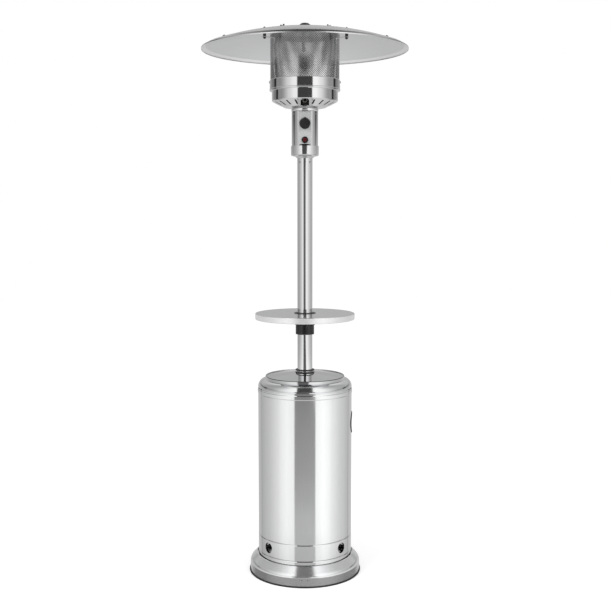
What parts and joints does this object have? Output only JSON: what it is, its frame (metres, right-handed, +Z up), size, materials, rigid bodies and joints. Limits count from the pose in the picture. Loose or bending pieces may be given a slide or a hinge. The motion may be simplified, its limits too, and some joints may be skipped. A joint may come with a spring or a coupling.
{
  "type": "gas patio heater",
  "caption": "Free-standing gas patio heater: bottle housing with a rear door, tall pole with a sliding table, perforated emitter head and a wide domed reflector.",
  "frame": {"origin": "on the floor, under the centre of the base", "axes": "+Z up along the pole; the control panel faces -Y; +X is to the viewer's right"},
  "size_m": [0.818, 0.8188, 2.2166],
  "materials": {
    "housing_steel": "polished stainless steel",
    "polished_steel": "mirror-polished stainless steel",
    "burner_steel": "polished stainless steel",
    "screen_steel": "perforated stainless steel",
    "heat_steel": "dull heat-resistant steel",
    "reflector_aluminium": "satin sheet",
    "zinc_steel": "zinc-plated steel",
    "bright_fasteners": "plain bright fasteners",
    "black_plastic": "moulded black plastic",
    "edge_trim": "black edge channel",
    "magnet_black": "ferrite magnet",
    "ceramic": "white glazed insulator",
    "valve_metal": "die-cast body",
    "fitting_brass": "turned brass",
    "button_red": "red push button"
  },
  "bodies": {
    "frame": {"base_edge_trim": "edge_trim", "base_cover": "housing_steel", "post_brackets": "zinc_steel", "bracket_bolts": "zinc_steel", "pole_foot_flange": "zinc_steel", "flange_bolts": "zinc_steel", "pole": "polished_steel", "head_spigot": "zinc_steel", "pole_screws": "bright_fasteners", "housing_front": "housing_steel", "housing_cap": "housing_steel", "housing_top_plate": "polished_steel", "pole_ring": "black_plastic", "door_pivot_brackets": "zinc_steel", "door_pivot_pins": "zinc_steel", "door_magnet": "magnet_black", "head_collar": "polished_steel", "control_box_front": "polished_steel", "control_box_back": "polished_steel", "control_box_screws": "bright_fasteners", "neck_ring": "polished_steel", "gas_valve": "valve_metal", "gas_inlet_fitting": "fitting_brass", "burner_supply_tube": "heat_steel", "igniter_body": "black_plastic", "igniter_bezel": "black_plastic", "tilt_switch": "black_plastic", "burner_mixer": "heat_steel", "burner_head": "heat_steel", "pilot_burner": "heat_steel", "thermocouple": "heat_steel", "spark_electrode": "ceramic", "burner_pan": "burner_steel", "screen_band": "burner_steel", "band_screws": "bright_fasteners", "emitter_screen": "screen_steel", "emitter_top_plate": "screen_steel", "reflector_arms": "zinc_steel", "reflector_standoffs": "zinc_steel", "reflector_nuts": "bright_fasteners", "reflector_studs": "zinc_steel", "reflector_wing_nuts": "black_plastic", "reflector_seam_bolts": "bright_fasteners", "reflector_centre_cap": "black_plastic", "reflector_centre_washer": "zinc_steel", "reflector_panel_front": "reflector_aluminium", "reflector_panel_right": "reflector_aluminium", "reflector_panel_left": "reflector_aluminium"},
    "door": {"housing_door": "housing_steel", "door_grip_ring": "black_plastic", "door_pivot_lugs": "zinc_steel", "door_strike": "zinc_steel"},
    "table": {"table_top": "polished_steel", "table_ring": "black_plastic", "table_sleeve": "black_plastic", "table_clamp_bush": "black_plastic"},
    "lock_collar": {"table_lock_collar": "black_plastic"},
    "valve_stem": {"valve_stem": "zinc_steel"},
    "knob": {"gas_knob": "black_plastic"},
    "button": {"igniter_button": "button_red"}
  },
  "joints": [
    {"name": "door_hinge", "type": "hinge", "parent": "frame", "child": "door", "pos_m": [-0.17119, -0.05562, 0.4], "axis": [0, 0, 1], "range_deg": [0, 105]},
    {"name": "table_slide", "type": "slide", "parent": "frame", "child": "table", "axis": [0, 0, 1], "range_m": [-0.13, 0.5]},
    {"name": "lock_collar_turn", "type": "hinge", "parent": "table", "child": "lock_collar", "pos_m": [0, 0, 1], "axis": [0, 0, 1], "range_deg": [0, 90]},
    {"name": "valve_turn", "type": "hinge", "parent": "frame", "child": "valve_stem", "pos_m": [0, -0.046, 1.821], "axis": [0, -1, 0], "range_deg": [0, 180]},
    {"name": "knob_push", "type": "slide", "parent": "valve_stem", "child": "knob", "axis": [0, 1, 0], "range_m": [0, 0.003], "stiffness_N_per_m": 2000, "springref_m": -0.002},
    {"name": "igniter_push", "type": "slide", "parent": "frame", "child": "button", "axis": [0, 1, 0], "range_m": [0, 0.004], "stiffness_N_per_m": 2500, "springref_m": -0.002}
  ]
}
